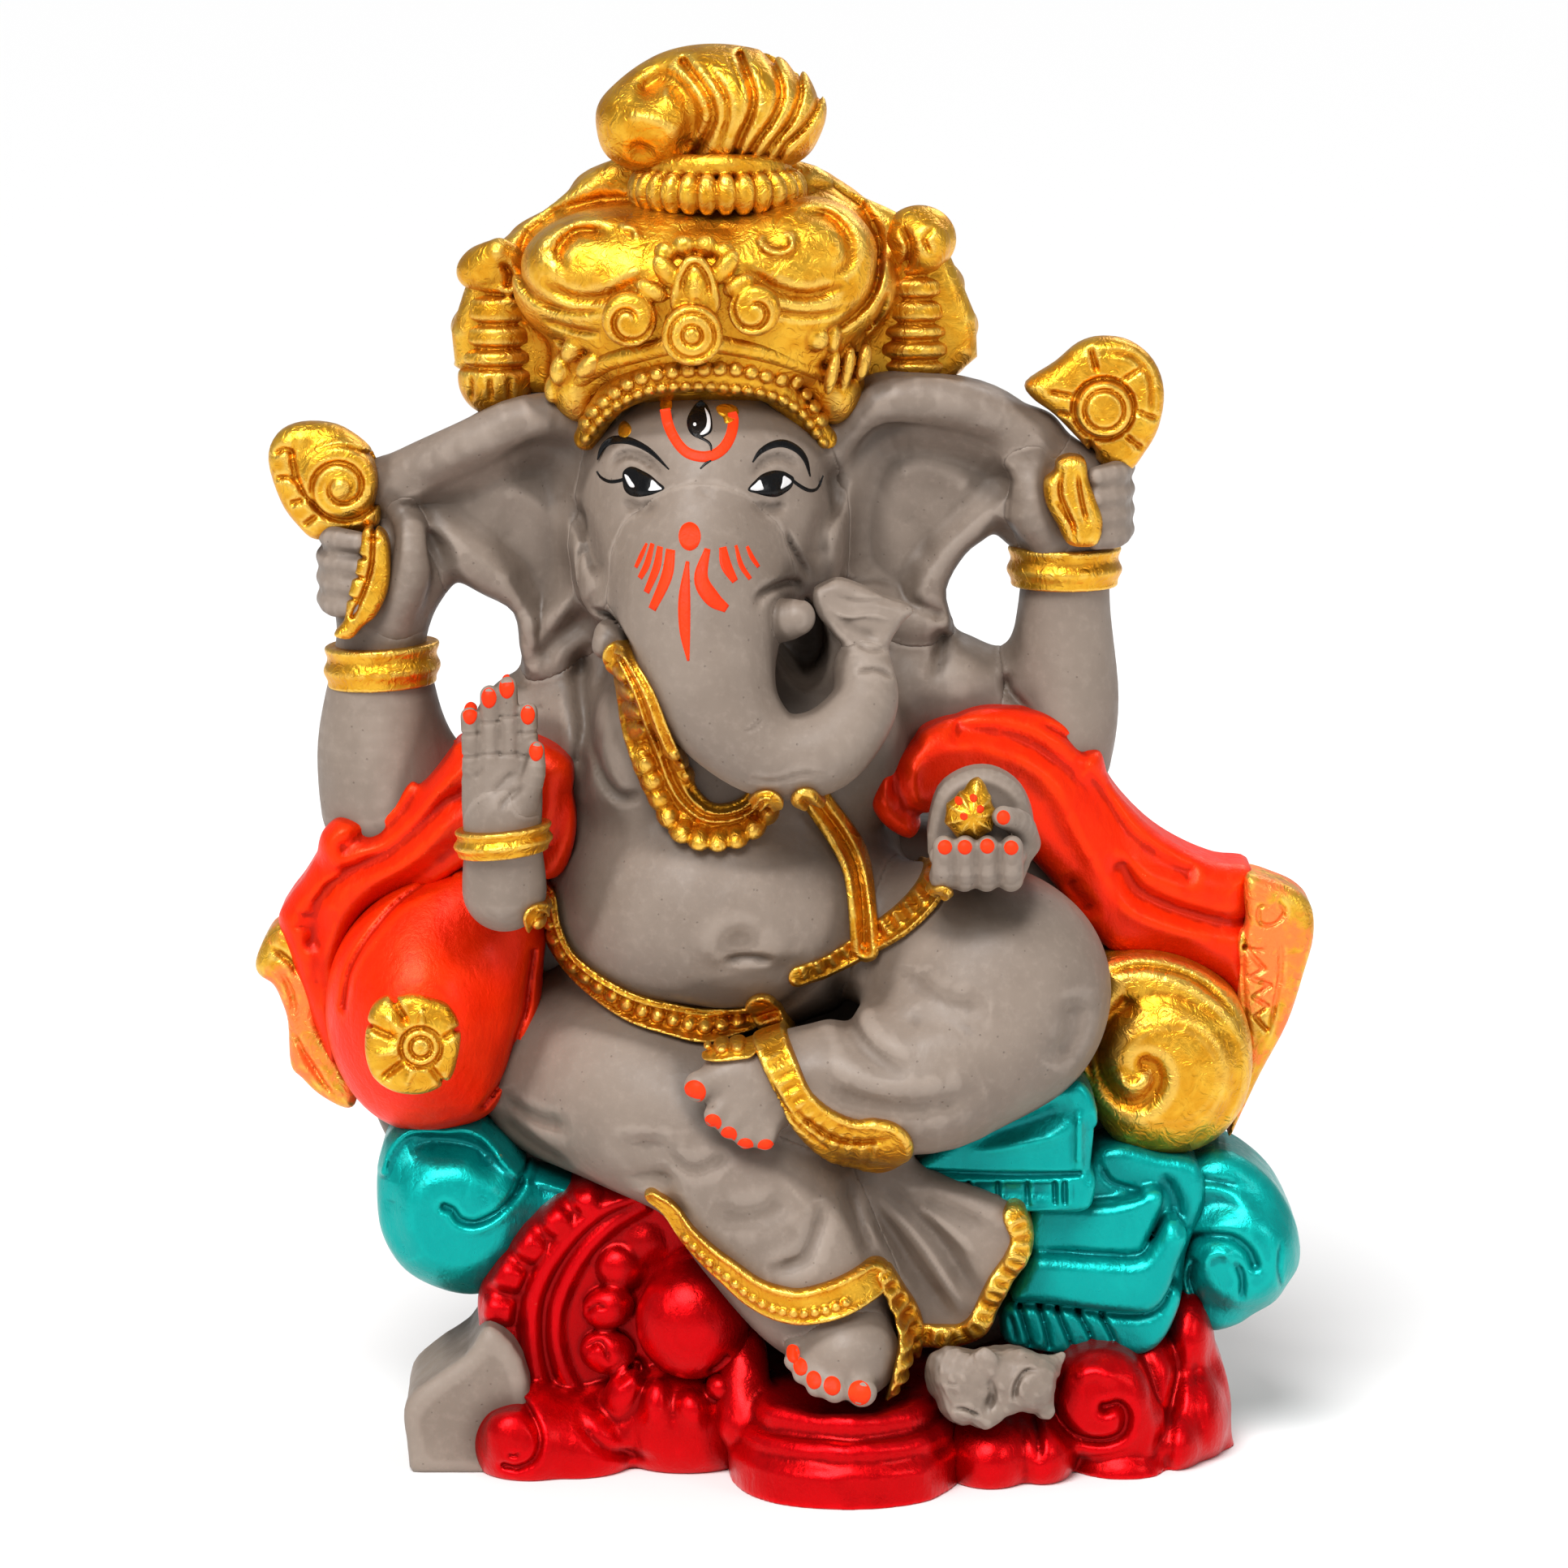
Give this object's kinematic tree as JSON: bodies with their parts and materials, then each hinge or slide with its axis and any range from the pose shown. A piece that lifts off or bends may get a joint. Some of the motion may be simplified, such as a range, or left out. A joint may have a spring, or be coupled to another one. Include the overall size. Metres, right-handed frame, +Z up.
{
  "type": "ganesha idol",
  "caption": "Seated elephant-headed deity in grey clay on a scrolled throne, with painted turban, scarf, cushions and trims; stands free on a flat base.",
  "frame": {"origin": "on the flat underside, under the seated figure, 3 mm behind the throne slab's front face", "axes": "+Z up from the underside to the topknot, -Y the way the idol faces, +X towards the idol's left hand side"},
  "size_m": [0.227, 0.1025, 0.3],
  "materials": {
    "clay": "unglazed matt grey-brown clay, fine pores and smoothing marks",
    "gold_paint": "brushed-on gold paint, bright on the ridges and ochre in the hollows",
    "scarlet_paint": "satin orange-red pearl paint with brush streaks",
    "crimson_paint": "satin crimson pearl paint",
    "teal_paint": "satin teal pearl paint",
    "mark_paint": "matt fluorescent orange poster paint of the nails and forehead marks",
    "black_paint": "black eye paint",
    "white_paint": "white eye paint"
  },
  "bodies": {
    "root": {"crown_rosette": "gold_paint", "crown_band": "gold_paint", "topknot": "gold_paint", "topknot_bead_ring": "gold_paint", "right_ear_roll": "gold_paint", "left_ear_roll": "gold_paint", "turban": "gold_paint", "right_tusk": "clay", "left_tusk": "clay", "trunk_tip_flare": "clay", "trunk": "clay", "right_ear": "clay", "left_ear": "clay", "head": "clay", "axe_blade": "gold_paint", "goad_head": "gold_paint", "axe_handle": "gold_paint", "goad_handle": "gold_paint", "right_rear_bangle": "gold_paint", "left_rear_bangle": "gold_paint", "right_rear_hand": "clay", "left_rear_hand": "clay", "right_rear_arm": "clay", "left_rear_arm": "clay", "right_front_bangle": "gold_paint", "blessing_hand": "clay", "right_front_forearm": "clay", "modak": "gold_paint", "offering_hand": "clay", "necklace": "gold_paint", "belt": "gold_paint", "sacred_thread": "gold_paint", "crossed_leg_hem": "gold_paint", "hanging_leg_hem": "gold_paint", "front_pleat_hem": "gold_paint", "fan_pleat_hem": "gold_paint", "crossed_foot": "clay", "standing_foot": "clay", "fan_pleats": "clay", "crossed_leg": "clay", "hanging_leg": "clay", "cushion_medallion": "gold_paint", "right_cushion": "scarlet_paint", "left_cushion": "gold_paint", "right_scarf_fringe": "gold_paint", "left_scarf_border": "gold_paint", "right_scarf": "scarlet_paint", "left_scarf": "scarlet_paint", "torso": "clay", "right_seat_scroll": "teal_paint", "left_seat_leaf": "teal_paint", "left_seat_scroll": "teal_paint", "left_seat_arm": "teal_paint", "mouse": "clay", "foot_rest": "crimson_paint", "right_volute": "crimson_paint", "right_plinth_scroll": "crimson_paint", "left_plinth_scroll": "crimson_paint", "throne_back": "clay"}
  },
  "joints": []
}
